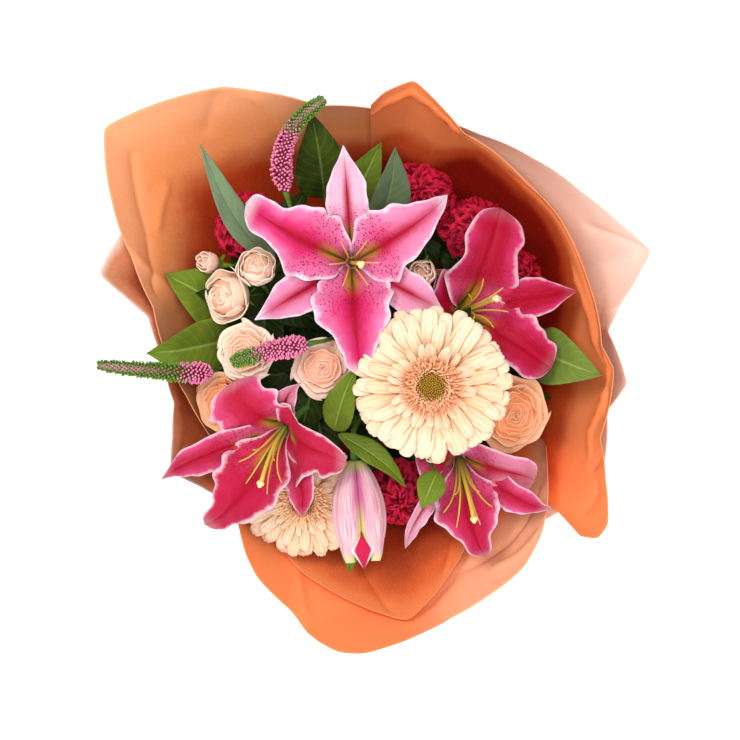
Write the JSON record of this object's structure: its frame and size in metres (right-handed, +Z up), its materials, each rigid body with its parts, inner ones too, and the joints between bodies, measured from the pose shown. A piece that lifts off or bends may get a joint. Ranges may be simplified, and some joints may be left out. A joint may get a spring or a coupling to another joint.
{
  "type": "mixed flower bouquet",
  "caption": "Hand-tied bouquet of lilies, gerberas, roses, carnations and leaves in an open paper wrap, lying on its side",
  "frame": {"origin": "middle of the flat spot under the front edge of the wrap, where the bouquet rests on the surface", "axes": "+Z up from the surface, -Y towards the blooms, +Y towards the cut stems, +X to the right when looking into the blooms"},
  "size_m": [0.4069, 0.4016, 0.3687],
  "materials": {
    "lily_petal": "satin petal, pink with pale edges",
    "lily_stamen": "satin, green to yellow",
    "lily_bud": "satin petal, lavender pink",
    "gerbera_petal": "matte petal, cream",
    "gerbera_heart": "fuzzy, peach",
    "rose_petal": "soft satin petal, peach",
    "spray_rose_petal": "soft satin petal, pale peach",
    "carnation_petal": "matte petal, dark crimson",
    "speedwell_spike": "downy, mauve pink",
    "stem": "satin green",
    "leaf": "glossy green",
    "wrap_orange": "matte fibre paper, orange",
    "wrap_peach": "matte fibre paper, pale peach",
    "ribbon": "satin ribbon",
    "twine": "rough twine"
  },
  "bodies": {
    "root": {"carnation_1_petals": "carnation_petal", "carnation_1_stem": "stem", "carnation_2_petals": "carnation_petal", "carnation_2_stem": "stem", "carnation_3_petals": "carnation_petal", "carnation_3_stem": "stem", "carnation_4_petals": "carnation_petal", "carnation_4_stem": "stem", "carnation_5_petals": "carnation_petal", "carnation_5_stem": "stem", "foliage_blade": "leaf", "foliage_bottom": "leaf", "foliage_left": "leaf", "foliage_right": "leaf", "foliage_top": "leaf", "gerbera_1_heart": "gerbera_heart", "gerbera_1_rays": "gerbera_petal", "gerbera_1_stem": "stem", "gerbera_2_heart": "gerbera_heart", "gerbera_2_rays": "gerbera_petal", "gerbera_2_stem": "stem", "lily_1_heart": "lily_stamen", "lily_1_tepals": "lily_petal", "lily_2_heart": "lily_stamen", "lily_2_tepals": "lily_petal", "lily_3_heart": "lily_stamen", "lily_3_tepals": "lily_petal", "lily_4_heart": "lily_stamen", "lily_4_tepals": "lily_petal", "lily_bud": "lily_bud", "lily_stem_1": "leaf", "lily_stem_2": "leaf", "ribbon": "ribbon", "rose_1_petals": "rose_petal", "rose_1_stem": "stem", "rose_2_petals": "rose_petal", "rose_2_stem": "stem", "rose_bud_1": "spray_rose_petal", "rose_bud_2": "spray_rose_petal", "rose_bud_3": "spray_rose_petal", "speedwell_1": "speedwell_spike", "speedwell_1_stem": "stem", "speedwell_2": "speedwell_spike", "speedwell_2_stem": "stem", "speedwell_3": "speedwell_spike", "speedwell_3_stem": "stem", "spray_rose_1": "spray_rose_petal", "spray_rose_2": "spray_rose_petal", "spray_rose_3": "spray_rose_petal", "spray_rose_4": "spray_rose_petal", "spray_stem_1": "stem", "spray_stem_2": "stem", "stem_tie": "twine", "wrap_back_left": "wrap_peach", "wrap_back_right": "wrap_peach", "wrap_left": "wrap_orange", "wrap_lip": "wrap_orange", "wrap_lip_inner": "wrap_orange", "wrap_right": "wrap_orange"}
  },
  "joints": []
}
